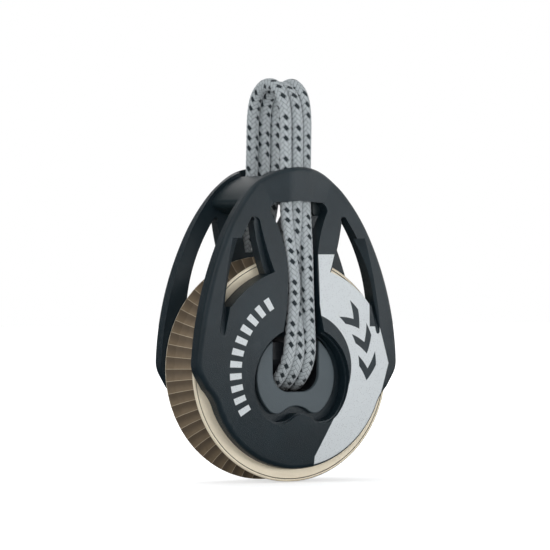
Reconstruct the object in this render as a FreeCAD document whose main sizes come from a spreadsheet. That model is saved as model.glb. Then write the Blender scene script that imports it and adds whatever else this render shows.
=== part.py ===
"""Ratcheting single sheave block with a soft lashing: 57 mm sheave, 10 mm line.

Frame: X across the block, Y along the sheave's axis with the front cheek on -Y, Z up.
The origin is the centre of the sheave. All sizes are millimetres.
"""
import FreeCAD, Part
import math
import os

import Sketcher
from FreeCAD import Placement, Rotation, Vector

doc = FreeCAD.newDocument("sheave_block")

# ---------------------------------------------------------------- driving dimensions
SIZES = {
    # sheave
    "sheave_radius": 28.5,
    "sheave_half_width": 7.2,
    "groove_half_width": 6.8,
    "tread_radius": 22.0,
    "groove_facets": 56,
    "facet_hollow": 0.22,
    "flange_step_radius": 23.8,
    "flange_step_depth": 0.5,
    "flange_line_radius": 27.75,
    "sheave_bore_radius": 17.65,
    # bearing
    "race_outer_radius": 14.6,
    "race_inner_radius": 13.0,
    "ball_radius": 1.5,
    "ball_circle_radius": 16.12,
    "balls_per_row": 30,
    "front_row_y": -4.9,
    "rear_row_y": 2.3,
    "shield_thickness": 0.45,
    # ratchet
    "ratchet_pocket_y": 3.9,
    "ratchet_end_y": 6.7,
    "ratchet_outer_radius": 21.9,
    "ratchet_root_radius": 20.7,
    "ratchet_tip_radius": 19.3,
    "ratchet_teeth": 24,
    "pawl_front_y": 4.5,
    "pawl_rear_y": 6.3,
    "pawl_pin_clearance": 0.05,
    "pawl_pin_radius": 0.9,
    "pawl_pivot_circle": 16.9,
    "pawl_pivot_angle": -38,
    # cheeks
    "cheek_inner_y": 7.6,
    "cheek_crown_y": 13.6,
    "cheek_dome_radius": 200,
    "cheek_dome_z": 10,
    "cheek_top_z": 50.95,
    "crown_radius": 18.9,
    "crown_turn": 50.1,
    "shoulder_radius": 48.8,
    "shoulder_turn": 15.0,
    "flank_radius": 88,
    "skirt_radius": 25.2,
    "edge_round": 1.3,
    "floor_y": 8.4,
    "recess_ledge_y": 11.6,
    "recess_radius": 13.9,
    "recess_wall_radius": 13.4,
    "recess_centre_z": -2.9,
    "spigot_end_y": 6.2,
    "spigot_inner_radius": 11.6,
    "crown_bar_inner_y": 11.35,
    "crown_bar_outer_y": 12.5,
    "crown_bar_round": 1.1,
    # hub
    "hub_half_width": 9.9,
    "hub_bottom_z": -8.9,
    "hub_top_z": 6.8,
    "hub_back_y": 8.6,
    "hub_face_y": 9.6,
    "hub_plate_radius": 11.4,
    "hub_plate_centre_z": -2.0,
    "hub_travel": 1.0,
    "passage_half_width": 6.9,
    "passage_bottom_z": -5.85,
    "saddle_radius": 9.85,
    "saddle_centre_z": 7.3,
    # lashing
    "cord_radius": 1.5,
    # fasteners
    "hub_screw_radius": 0.8,
    "head_screw_radius": 1.25,
}

sheet = doc.addObject("Spreadsheet::Sheet", "Sizes")
for row, (alias, value) in enumerate(SIZES.items(), start=1):
    sheet.set(f"A{row}", alias)
    sheet.set(f"B{row}", str(value))
    sheet.setAlias(f"B{row}", alias)
doc.recompute()


def size(alias):
    """The value of one named cell of the sheet."""
    return float(sheet.get(alias))


NODES = []
FRONT = -1
REAR = 1
SIDES = ((-1, "left"), (1, "right"))


def keep(feature, label):
    """Name a finished sub-part and put it on the list of pieces to write."""
    feature.Label = label
    NODES.append(feature)
    return feature


def flat(x, y):
    """A point in a sketch's own plane."""
    return Vector(x, y, 0)


# ---------------------------------------------------------------- Part helpers
ALONG_Y = Rotation(Vector(1, 0, 0), -90)


def cylinder_y(name, radius, start_y, end_y, x=0, z=0):
    """A cylinder parallel to Y between two Y positions; the sizes are sheet expressions."""
    solid = doc.addObject("Part::Cylinder", name)
    solid.Placement = Placement(Vector(x, 0, z), ALONG_Y)
    solid.setExpression("Radius", radius)
    solid.setExpression("Height", f"({end_y}) - ({start_y})")
    solid.setExpression(".Placement.Base.y", start_y)
    return solid


def cut(name, base, tool):
    """Base minus tool."""
    feature = doc.addObject("Part::Cut", name)
    feature.Base = base
    feature.Tool = tool
    return feature


def fuse(name, shapes):
    """Several solids in one shape."""
    feature = doc.addObject("Part::MultiFuse", name)
    feature.Shapes = shapes
    return feature


def ring_y(name, outer, inner, start_y, end_y):
    """A ring about the sheave's axis."""
    disc = cylinder_y(name + "_disc", outer, start_y, end_y)
    bore = cylinder_y(name + "_bore", inner, f"({start_y}) - 1", f"({end_y}) + 1")
    return cut(name, disc, bore)


def solid_feature(name, shape, turn=0):
    """A feature that holds a shape made with Part's own functions, turned about the axis."""
    feature = doc.addObject("Part::Feature", name)
    feature.Shape = shape
    feature.Placement = Placement(Vector(), Rotation(Vector(0, 1, 0), turn))
    return feature


def prism_y(points, start_y, end_y):
    """A prism between two Y positions over a closed polygon of (x, z) points."""
    corners = [Vector(x, start_y, z) for x, z in points]
    face = Part.Face(Part.makePolygon(corners + corners[:1]))
    return face.extrude(Vector(0, end_y - start_y, 0))


# ---------------------------------------------------------------- sketch helpers
def sketch_on(body, role, name, offset=None):
    """A sketch on one of the body's own origin planes, moved along the plane's normal."""
    plane = next(item for item in body.Origin.OriginFeatures if item.Role == role)
    sketch = body.newObject("Sketcher::SketchObject", name)
    sketch.AttachmentSupport = [(plane, "")]
    sketch.MapMode = "FlatFace"
    if offset:
        sketch.setExpression(".AttachmentOffset.Base.z", offset)
    return sketch


def add_path(sketch, path):
    """Add a path: each entry holds two points for a line, or three for an arc."""
    for entry in path:
        if len(entry) == 2:
            sketch.addGeometry(Part.LineSegment(*entry), False)
        else:
            sketch.addGeometry(Part.Arc(*entry), False)


def add_circle(sketch, radius_alias, x=0, y=0):
    """Add a circle whose radius is bound to the sheet."""
    circle = Part.Circle(flat(x, y), Vector(0, 0, 1), size(radius_alias))
    index = sketch.addGeometry(circle, False)
    constraint = sketch.addConstraint(Sketcher.Constraint("Radius", index, size(radius_alias)))
    sketch.setExpression(f"Constraints[{constraint}]", f"Sizes.{radius_alias}")


def mirrored(path):
    """The same path on the other side of the vertical axis, running the other way."""
    return [[flat(-p.x, p.y) for p in reversed(entry)] for entry in reversed(path)]


def both_sides(path):
    """A half outline that starts and ends on the vertical axis, closed by its mirror image."""
    return path + mirrored(path)


def arc(start, end, radius):
    """An arc entry; a positive radius bulges to the left of the way from start to end."""
    chord = end.sub(start)
    rise = abs(radius) - math.sqrt(radius ** 2 - (chord.Length / 2) ** 2)
    normal = flat(-chord.y, chord.x).normalize()
    middle = (start + end) * 0.5 + normal * math.copysign(rise, radius)
    return [start, middle, end]


def polar(radius, degrees, centre_y=0):
    """A point on a circle centred on the vertical axis; 0 degrees is along the first axis."""
    angle = math.radians(degrees)
    return flat(radius * math.cos(angle), centre_y + radius * math.sin(angle))


def extrude(body, kind, sketch, length, inwards=False):
    """A Pad or Pocket from a sketch on the XZ plane, whose normal is -Y, the front."""
    feature = body.newObject(f"PartDesign::{kind}", f"{sketch.Name}_{kind.lower()}")
    feature.Profile = sketch
    feature.setExpression("Length", length)
    feature.Reversed = inwards if kind == "Pad" else not inwards
    doc.recompute()
    return feature


def removed_something(feature, before):
    """Stop if a feature that should cut has left the volume as it was."""
    if feature.Shape.Volume > before - 0.01:
        raise RuntimeError(f"{feature.Name} cuts nothing")


def pocket(body, sketch, length):
    """A pocket that goes from the sketch towards the block's middle, +Y on the front cheek."""
    before = body.Shape.Volume
    feature = extrude(body, "Pocket", sketch, length, inwards=True)
    removed_something(feature, before)
    return feature


# ---------------------------------------------------------------- outlines of a cheek
def along(centre, radius, turn):
    """The point of an arc where it has turned so far from the vertical."""
    return centre + flat(math.sin(turn), math.cos(turn)) * radius


def crown_point(turn):
    """A point of the crown's arc where it has turned so far from the vertical."""
    radius = size("crown_radius")
    return along(flat(0, size("cheek_top_z") - radius), radius, turn)


def cheek_outline():
    """The teardrop: crown, shoulder and flank arcs, a chamfered corner and the skirt arc."""
    shoulder = size("shoulder_radius")
    flank = size("flank_radius")
    skirt = size("skirt_radius")
    first_turn = math.radians(size("crown_turn"))
    both_turns = first_turn + math.radians(size("shoulder_turn"))
    crown_end = crown_point(first_turn)
    shoulder_centre = along(crown_end, -shoulder, first_turn)
    shoulder_end = along(shoulder_centre, shoulder, both_turns)
    flank_centre = along(shoulder_centre, shoulder - flank, both_turns)
    corner_z = 2.1
    corner_turn = math.acos((corner_z - flank_centre.y) / flank)
    corner = along(flank_centre, flank, corner_turn)
    down = flat(math.cos(corner_turn), -math.sin(corner_turn))
    chamfer_end = flat(26.4, -4.8)
    chamfer_way = flat(-0.528, -0.849)
    gap = chamfer_end - corner
    to_sharp = (gap.x * chamfer_way.y - gap.y * chamfer_way.x) / (down.x * chamfer_way.y - down.y * chamfer_way.x)
    chamfer_start = corner + down * to_sharp + chamfer_way * to_sharp
    corner_radius = to_sharp / math.tan(down.getAngle(chamfer_way) / 2)
    skirt_start = polar(skirt, -23.5)
    skirt_end = flat(0, -skirt)
    return both_sides([
        [crown_point(0), crown_point(first_turn / 2), crown_end],
        [crown_end, along(shoulder_centre, shoulder, (first_turn + both_turns) / 2), shoulder_end],
        [shoulder_end, along(flank_centre, flank, (both_turns + corner_turn) / 2), corner],
        arc(corner, chamfer_start, corner_radius),
        [chamfer_start, chamfer_end],
        arc(chamfer_end, skirt_start, -12),
        [skirt_start, polar(skirt, -56), skirt_end],
    ])


def heart_outline(radius, centre_z, bottom_z, notch_z, lobe_radius, open_angle):
    """A disc with two lobes and a notch at its foot, from the angle where it meets a slot.

    The lobes are tangent inside the disc and reach bottom_z; the notch is tangent to both.
    """
    reach = centre_z - bottom_z
    lobe_x = math.sqrt((radius - lobe_radius) ** 2 - (reach - lobe_radius) ** 2)
    lobe = flat(lobe_x, bottom_z + lobe_radius)
    rise = notch_z - lobe.y
    notch_radius = (lobe_x ** 2 + rise ** 2 - lobe_radius ** 2) / (2 * (lobe_radius + rise))
    notch = flat(0, notch_z - notch_radius)
    centre = flat(0, centre_z)
    start = polar(radius, open_angle, centre_z)
    meet_lobe = centre + (lobe - centre).normalize() * radius
    lobe_end = lobe + (notch - lobe).normalize() * lobe_radius
    middle_angle = (open_angle + math.degrees(math.atan2(lobe.y - centre_z, lobe.x))) / 2
    return [
        [start, polar(radius, middle_angle, centre_z), meet_lobe],
        [meet_lobe, lobe + flat(0.35, -1).normalize() * lobe_radius, lobe_end],
        arc(lobe_end, flat(0, notch_z), -notch_radius),
    ]


def slot_side():
    """The right side of the slot that the lashing runs in, from its top down to the hub."""
    return [
        [flat(0, 42.5), flat(5.6, 42.0)],
        arc(flat(5.6, 42.0), flat(8.4, 39.8), 2.2),
        arc(flat(8.4, 39.8), flat(4.4, 24), -30),
        arc(flat(4.4, 24), flat(6.3, 8.4), -60),
    ]


def window_outline(ledge):
    """A side window; its inner edge stands further out by the ledge's width."""
    inner_foot = flat(8.1 + ledge, 24.5 - 0.35 * ledge)
    inner_top = flat(11.5 + ledge, 37.2)
    outer_top = flat(14.1, 37.8)
    outer_mid = flat(20.3, 25)
    outer_foot = flat(21.9, 17.2)
    foot = flat(20.4, 15.9)
    return [
        arc(inner_foot, inner_top, -60),
        [inner_top, (inner_top + outer_top) * 0.5 + flat(-0.2, 0.9), outer_top],
        [outer_top, flat(17.9, 31.2), outer_mid],
        arc(outer_mid, outer_foot, 45),
        arc(outer_foot, foot, 1.4),
        arc(foot, inner_foot, -25.6),
    ]


BEVEL_CORNERS = [
    (19.5, 33), (24.2, 30), (25.6, 10), (23.9, 8.8), (23.0, 10.8), (21.6, 16.8), (19.6, 18.5),
    (18.0, 27.5), (16.2, 33),
]
SCOOP_CORNERS = [
    (20.3, 17.9), (21.8, 17.9), (23.4, 9.9), (23.35, 9.1), (22.9, 8.7), (22.4, 8.9), (22.1, 9.5),
]


def sloped_cut(corners, level, per_x, per_z, side):
    """What lies in front of a sloped plane over a polygon of (x, z) corners.

    The plane stands level + per_x * x + per_z * z in front of the middle; side is -1 or 1.
    """
    points = [Vector(side * x, -(level + per_x * x + per_z * z), z) for x, z in corners]
    return Part.Face(Part.makePolygon(points + points[:1])).extrude(Vector(0, -6, 0))


def window_bevels():
    """The bevel along each side window's outer edge, and the scoop below the window's foot."""
    tools = []
    for side, label in SIDES:
        bevel = sloped_cut(BEVEL_CORNERS, -5.12, 0.7, 0.085, side)
        scoop = sloped_cut(SCOOP_CORNERS, 14.4, 0, -0.255, side)
        tools.append(solid_feature(f"WindowBevel_{label}", bevel))
        tools.append(solid_feature(f"WindowScoop_{label}", scoop))
    return tools


# ---------------------------------------------------------------- the moulded cheek
def cheek_moulding():
    """The front cheek's plate: dome, windows, lashing slot, hub recess and spigot."""
    body = doc.addObject("PartDesign::Body", "CheekMoulding")
    outline = sketch_on(body, "XZ_Plane", "cheek_outline", "Sizes.cheek_inner_y")
    add_path(outline, cheek_outline())
    extrude(body, "Pad", outline, "Sizes.crown_bar_outer_y + 2 - Sizes.cheek_inner_y")

    dome = sketch_on(body, "YZ_Plane", "cheek_dome")
    crown_y = size("cheek_crown_y")
    radius = size("cheek_dome_radius")
    middle_z = size("cheek_dome_z")
    reach = 48
    rim_y = crown_y - radius + math.sqrt(radius ** 2 - reach ** 2)
    half_y = crown_y - radius + math.sqrt(radius ** 2 - (reach / 2) ** 2)
    top = flat(-crown_y, middle_z)
    rim = flat(-rim_y, middle_z + reach)
    outer = flat(-crown_y - 6, middle_z + reach)
    add_path(dome, [
        [top, flat(-half_y, middle_z + reach / 2), rim],
        [rim, outer],
        [outer, flat(-crown_y - 6, middle_z)],
        [flat(-crown_y - 6, middle_z), top],
    ])
    dome.addGeometry(Part.LineSegment(top, flat(-crown_y - 6, middle_z)), True)
    groove = body.newObject("PartDesign::Groove", "cheek_dome_groove")
    before = body.Shape.Volume
    groove.Profile = dome
    groove.ReferenceAxis = (dome, ["Axis0"])
    groove.Angle = 360
    doc.recompute()
    removed_something(groove, before)

    rounded = body.newObject("PartDesign::Fillet", "cheek_edge_round")
    rounded.Base = (groove, outer_edges(groove.Shape))
    rounded.setExpression("Radius", "Sizes.edge_round")
    doc.recompute()

    fused = body.newObject("PartDesign::Boolean", "crown_bar_fused")
    fused.Group = [crown_bar()]
    fused.Type = "Fuse"
    doc.recompute()
    hollow_behind_bar(body)
    openings_in_cheek(body)
    hub_recess(body)
    return body


def outer_edges(shape):
    """The names of the edges where the dome meets the outline."""
    limit = size("cheek_inner_y") + 2
    names = []
    for number, edge in enumerate(shape.Edges, start=1):
        if edge.BoundBox.YMax < -limit and edge.Length > 0.3:
            names.append(f"Edge{number}")
    return names


def crown_bar():
    """The bar over the lashing: a bulge whose slopes run out into the dome."""
    body = doc.addObject("PartDesign::Body", "CrownBar")
    half_width = 12.8
    foot_z = 38
    sketch = sketch_on(body, "XZ_Plane", "crown_bar", "Sizes.cheek_inner_y")
    turn = math.asin(half_width / size("crown_radius"))
    end = crown_point(turn)
    foot = flat(half_width, foot_z)
    add_path(sketch, both_sides([
        [crown_point(0), crown_point(turn / 2), end],
        [end, foot],
        [foot, flat(0, foot_z)],
    ]))
    extrude(body, "Pad", sketch, "Sizes.crown_bar_outer_y - Sizes.cheek_inner_y")

    slopes = sketch_on(body, "XY_Plane", "crown_bar_slopes")
    path = slope_outline(half_width + 1)
    add_path(slopes, path)
    add_path(slopes, mirrored(path))
    through_all(body, slopes)

    sharp = body.Tip
    rounded = body.newObject("PartDesign::Fillet", "crown_bar_round")
    rounded.Base = (sharp, crown_edges(sharp.Shape, foot_z))
    rounded.setExpression("Radius", "Sizes.crown_bar_round")
    doc.recompute()
    return body


def slope_outline(reach):
    """What is cut away in front of the bar's right slope, seen from above."""
    outer = size("crown_bar_outer_y")
    crest = flat(2.9, -outer)
    valley = flat(10.4, -9.9)
    way = (valley - crest).normalize()
    crest_radius = 5
    valley_radius = 8
    half_bend = math.atan2(way.y, way.x) / 2
    crest_length = crest_radius * math.tan(half_bend)
    valley_length = valley_radius * math.tan(half_bend)
    crest_start = crest - flat(crest_length, 0)
    crest_end = crest + way * crest_length
    valley_start = valley - way * valley_length
    valley_end = valley + flat(valley_length, 0)
    clear = -outer - 1
    return [
        arc(crest_start, crest_end, -crest_radius),
        [crest_end, valley_start],
        arc(valley_start, valley_end, valley_radius),
        [valley_end, flat(reach, valley.y)],
        [flat(reach, valley.y), flat(reach, clear)],
        [flat(reach, clear), flat(crest_start.x, clear)],
        [flat(crest_start.x, clear), crest_start],
    ]


def crown_edges(shape, foot_z):
    """The names of the edges where the bar's front meets the crown."""
    names = []
    for number, edge in enumerate(shape.Edges, start=1):
        box = edge.BoundBox
        if box.YMax < -size("cheek_inner_y") - 1 and box.XLength > 0.05 and box.ZMin > foot_z + 1:
            names.append(f"Edge{number}")
    return names


def hollow_behind_bar(body):
    """The passage for the lashing between the bar and the head spacers."""
    hollow = sketch_on(body, "XY_Plane", "crown_bar_hollow", "Sizes.cheek_top_z - 11")
    inner = size("crown_bar_inner_y")
    half_width = 6.2
    corner = 1.6
    near = -size("cheek_inner_y") + 1
    add_path(hollow, both_sides([
        [flat(0, near), flat(half_width, near)],
        [flat(half_width, near), flat(half_width, -inner + corner)],
        arc(flat(half_width, -inner + corner), flat(half_width - corner, -inner), -corner),
        [flat(half_width - corner, -inner), flat(0, -inner)],
    ]))
    upwards(body, hollow, 14)


def through_all(body, sketch):
    """A pocket through everything, both ways from its sketch."""
    before = body.Shape.Volume
    feature = body.newObject("PartDesign::Pocket", f"{sketch.Name}_pocket")
    feature.Profile = sketch
    feature.Type = "ThroughAll"
    feature.Midplane = True
    doc.recompute()
    removed_something(feature, before)


def upwards(body, sketch, length):
    """A pocket of the given length on the +Z side of a level sketch."""
    before = body.Shape.Volume
    feature = body.newObject("PartDesign::Pocket", f"{sketch.Name}_pocket")
    feature.Profile = sketch
    feature.Length = length
    feature.Reversed = True
    doc.recompute()
    removed_something(feature, before)


def openings_in_cheek(body):
    """The head window, the channel below it, and the two side windows with their ledges."""
    head = sketch_on(body, "XZ_Plane", "head_window")
    split_z = 29.5
    sides = slot_side()
    head_side = sides[:2]
    split = flat(split_half_width(split_z), split_z)
    head_side.append(arc(flat(8.4, 39.8), split, -30))
    head_side.append([split, flat(0, split_z)])
    add_path(head, both_sides(head_side))
    through_all(body, head)

    channel = sketch_on(body, "XZ_Plane", "lashing_channel", "Sizes.crown_bar_outer_y + 2")
    channel_side = [[flat(0, split_z + 0.5), flat(split.x, split_z + 0.5)]]
    channel_side.append([flat(split.x, split_z + 0.5), split])
    channel_side.append(arc(split, flat(4.4, 24), -30))
    channel_side.append(sides[3])
    channel_side.append([flat(6.3, 8.4), flat(6.3, 6)])
    channel_side.append([flat(6.3, 6), flat(0, 6)])
    add_path(channel, both_sides(channel_side))
    pocket(body, channel, "Sizes.crown_bar_outer_y + 2 - Sizes.floor_y")

    windows = sketch_on(body, "XZ_Plane", "side_windows")
    ledges = sketch_on(body, "XZ_Plane", "window_ledges", "Sizes.crown_bar_outer_y + 2")
    ledge_width = 1.5
    for sketch, path in ((windows, window_outline(ledge_width)), (ledges, window_outline(0))):
        add_path(sketch, path)
        add_path(sketch, mirrored(path))
    through_all(body, windows)
    pocket(body, ledges, "Sizes.crown_bar_outer_y + 2 - 10.6")


def split_half_width(z):
    """Half the slot's width at a height in its upper, widening part."""
    start = flat(8.4, 39.8)
    end = flat(4.4, 24)
    chord = end.sub(start)
    sag = 30 - math.sqrt(30 ** 2 - (chord.Length / 2) ** 2)
    normal = flat(-chord.y, chord.x).normalize()
    centre = (start + end) * 0.5 + normal * (30 - sag)
    return centre.x - math.sqrt(30 ** 2 - (z - centre.y) ** 2)


RECESS_MOUTH = 6.3


def hub_recess(body):
    """The stepped recess round the hub, the hole in its floor, and the spigot for the race."""
    outer = sketch_on(body, "XZ_Plane", "hub_recess", "Sizes.crown_bar_outer_y + 2")
    wall = sketch_on(body, "XZ_Plane", "hub_recess_wall", "Sizes.crown_bar_outer_y + 2")
    for sketch, radius, bottom, notch, depth in (
            (outer, "recess_radius", -13.7, -11.3, "recess_ledge_y"),
            (wall, "recess_wall_radius", -13.2, -11.0, "floor_y")):
        open_angle = math.degrees(math.acos(RECESS_MOUTH / size(radius)))
        path = heart_outline(size(radius), size("recess_centre_z"), bottom, notch, 5.9, open_angle)
        start = path[0][0]
        path.insert(0, [flat(0, start.y), start])
        add_path(sketch, both_sides(path))
        pocket(body, sketch, f"Sizes.crown_bar_outer_y + 2 - Sizes.{depth}")

    hole = sketch_on(body, "XZ_Plane", "hub_hole")
    top = size("hub_top_z") + size("hub_travel") + 0.4
    add_path(hole, hub_section(size("hub_half_width") + 0.2, size("hub_bottom_z") - 0.2, top))
    through_all(body, hole)

    spigot = sketch_on(body, "XZ_Plane", "race_spigot", "Sizes.cheek_inner_y")
    add_circle(spigot, "race_inner_radius")
    add_circle(spigot, "spigot_inner_radius")
    extrude(body, "Pad", spigot, "Sizes.cheek_inner_y - Sizes.spigot_end_y", inwards=True)


def hub_section(half_width, bottom, top):
    """The closed D-shaped section of the hub: wide round corners below, tighter ones above."""
    low = 6.5
    high = 5.0
    return both_sides([
        [flat(0, top), flat(half_width - high, top)],
        corner_arc(flat(half_width - high, top - high), high, 90),
        [flat(half_width, top - high), flat(half_width, bottom + low)],
        corner_arc(flat(half_width - low, bottom + low), low, 0),
        [flat(half_width - low, bottom), flat(0, bottom)],
    ])


def corner_arc(centre, radius, start):
    """A quarter circle that runs clockwise from the start angle."""
    angles = [math.radians(start - turn) for turn in (0, 45, 90)]
    return [centre + flat(math.cos(a), math.sin(a)) * radius for a in angles]


# ---------------------------------------------------------------- cheeks and head
HEAD_SCREW = (10.6, 43.2)
HEAD_SCREW_HEAD = 2.3
HEAD_SCREW_HEAD_Y = 10.45
HEAD_SCREW_END_Y = -9.6


def head_screw_holes(name, start_y, end_y):
    """The two holes for the head screws."""
    x, z = HEAD_SCREW
    return [cylinder_y(f"{name}_{label}", "Sizes.head_screw_radius", start_y, end_y, side * x, z)
            for side, label in SIDES]


def pawl_pivots():
    """The centres of the two pawl pins, half a turn apart."""
    circle = size("pawl_pivot_circle")
    first = size("pawl_pivot_angle")
    return [polar(circle, first), polar(circle, first + 180)]


def trip_slots(name, inner, outer, start_y):
    """Two boxes that clear the trip arms where they pass out of the hub."""
    boxes = []
    for side, label in SIDES:
        box = doc.addObject("Part::Box", f"{name}_{label}")
        box.Length = outer - inner
        box.Width = size("cheek_inner_y") + 1 - start_y
        box.Height = 4.8
        box.Placement = Placement(Vector(inner if side > 0 else -outer, start_y, -1.4), Rotation())
        boxes.append(box)
    return boxes


def build_cheeks():
    """The front cheek, and the rear one as its mirror image with holes for what it carries."""
    moulding = cut("CheekBevelled", cheek_moulding(), fuse("WindowBevels", window_bevels()))
    front_holes = head_screw_holes("front_screw_hole", str(HEAD_SCREW_END_Y), "-Sizes.cheek_inner_y + 1")
    keep(cut("FrontCheek", moulding, fuse("FrontHoles", front_holes)), "front_cheek")

    mirror = doc.addObject("Part::Mirroring", "RearMoulding")
    mirror.Source = moulding
    mirror.Normal = Vector(0, 1, 0)
    tools = head_screw_holes("rear_screw_hole", "Sizes.cheek_inner_y - 1", "15")
    for side, label in SIDES:
        sink = doc.addObject("Part::Cone", f"RearSink_{label}")
        sink.Radius1 = size("head_screw_radius")
        sink.Radius2 = 4.0
        sink.Height = 4.0 - size("head_screw_radius")
        lowest = HEAD_SCREW_HEAD_Y - (HEAD_SCREW_HEAD - size("head_screw_radius"))
        sink.Placement = Placement(Vector(side * HEAD_SCREW[0], lowest, HEAD_SCREW[1]), ALONG_Y)
        tools.append(sink)
    for number, pivot in enumerate(pawl_pivots()):
        tools.append(cylinder_y(f"PinHole_{number}", "Sizes.pawl_pin_radius", "Sizes.cheek_inner_y - 1",
                                "Sizes.cheek_inner_y + 2.5", pivot.x, pivot.y))
    tools += trip_slots("SpigotSlot", 11, 13.4, size("spigot_end_y") - 1)
    keep(cut("RearCheek", mirror, fuse("RearHoles", tools)), "rear_cheek")


def build_head_spacers():
    """The two blocks that hold the cheeks' heads apart, one each side of the lashing."""
    path = [
        [flat(6.2, 48.8), flat(10.6, 46.5), flat(14.3, 42.8)],
        [flat(14.3, 42.8), flat(14.4, 41.3), flat(13.2, 40.4)],
        [flat(13.2, 40.4), flat(10.6, 39.1)],
        [flat(10.6, 39.1), flat(7.6, 38.7)],
        [flat(7.6, 38.7), flat(6.5, 39.1), flat(6.2, 40.2)],
        [flat(6.2, 40.2), flat(6.2, 48.8)],
    ]
    for side, name in SIDES:
        body = doc.addObject("PartDesign::Body", f"{name.title()}Spacer")
        sketch = sketch_on(body, "XZ_Plane", f"{name}_spacer")
        add_path(sketch, path if side > 0 else mirrored(path))
        pad = body.newObject("PartDesign::Pad", f"{name}_spacer_pad")
        pad.Profile = sketch
        pad.Midplane = True
        pad.setExpression("Length", "2 * Sizes.cheek_inner_y")
        hole = sketch_on(body, "XZ_Plane", f"{name}_spacer_hole")
        add_circle(hole, "head_screw_radius", side * HEAD_SCREW[0], HEAD_SCREW[1])
        doc.recompute()
        through_all(body, hole)
        keep(body, f"{name}_head_spacer")


def countersunk_screw(shank, head, end_y, face_y, socket):
    """A screw along Y with its flat head at face_y and its point at end_y."""
    cone = head - shank
    lines = [(0, end_y), (shank - 0.2, end_y), (shank, end_y + 0.3), (shank, face_y - cone),
             (head, face_y), (0, face_y)]
    corners = [Vector(x, y, 0) for x, y in lines]
    face = Part.Face(Part.makePolygon(corners + corners[:1]))
    screw = face.revolve(Vector(), Vector(0, 1, 0), 360)
    hexagon = [(socket * math.cos(math.radians(60 * i)), socket * math.sin(math.radians(60 * i)))
               for i in range(6)]
    return screw.cut(prism_y(hexagon, face_y - 0.9 * cone, face_y + 1))


def screws_at(name, screw, places):
    """Copies of a screw at several (x, z) places, in one node."""
    return solid_feature(name, Part.makeCompound([screw.translated(Vector(x, 0, z)) for x, z in places]))


def build_head_screws():
    screw = countersunk_screw(size("head_screw_radius"), HEAD_SCREW_HEAD, HEAD_SCREW_END_Y,
                              HEAD_SCREW_HEAD_Y, 1.0)
    x, z = HEAD_SCREW
    keep(screws_at("HeadScrews", screw, [(-x, z), (x, z)]), "head_screws")


# ---------------------------------------------------------------- bearing
def build_bearing():
    """Inner race, two rows of balls with a ring between, and the washers that keep them in."""
    race = ring_y("Race", "Sizes.race_outer_radius", "Sizes.race_inner_radius",
                  "-Sizes.cheek_inner_y", "Sizes.cheek_inner_y")
    slots = fuse("RaceSlots", trip_slots("RaceSlot", 12, 16, size("ratchet_pocket_y") + 0.5))
    keep(cut("BearingRace", race, slots), "bearing_race")

    row_end = "Sizes.front_row_y - Sizes.ball_radius"
    keep(ring_y("FrontWasher", "Sizes.sheave_bore_radius - 0.15", "Sizes.race_outer_radius",
                f"{row_end} - 0.1 - Sizes.shield_thickness", f"{row_end} - 0.1"), "front_ball_washer")
    keep(ring_y("BallSpacer", "Sizes.sheave_bore_radius - 0.15", "Sizes.race_outer_radius + 0.15",
                "Sizes.front_row_y + Sizes.ball_radius + 0.1",
                "Sizes.rear_row_y - Sizes.ball_radius - 0.1"), "ball_spacer_ring")
    for name in ("front", "rear"):
        keep(ball_row(name, size(f"{name}_row_y")), f"{name}_ball_row")


def ball_row(name, y):
    """A full ring of balls."""
    count = int(size("balls_per_row"))
    balls = []
    for number in range(count):
        place = polar(size("ball_circle_radius"), 360 * number / count)
        balls.append(Part.makeSphere(size("ball_radius"), Vector(place.x, y, place.y)))
    return solid_feature(f"{name.title()}Balls", Part.makeCompound(balls))


# ---------------------------------------------------------------- sheave
def groove_section(name, y, ridge_radius):
    """One level of the groove's core: a ring of shallow hollows that meet in ridges."""
    sketch = doc.addObject("Sketcher::SketchObject", name)
    sketch.Placement = Placement(Vector(0, y, 0), ALONG_Y)
    count = int(size("groove_facets"))
    pitch = 360 / count
    path = []
    for number in range(count):
        first = number * pitch
        path.append([polar(ridge_radius, first),
                     polar(ridge_radius - size("facet_hollow"), first + pitch / 2),
                     polar(ridge_radius, first + pitch)])
    add_path(sketch, path)
    doc.recompute()
    return sketch


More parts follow.
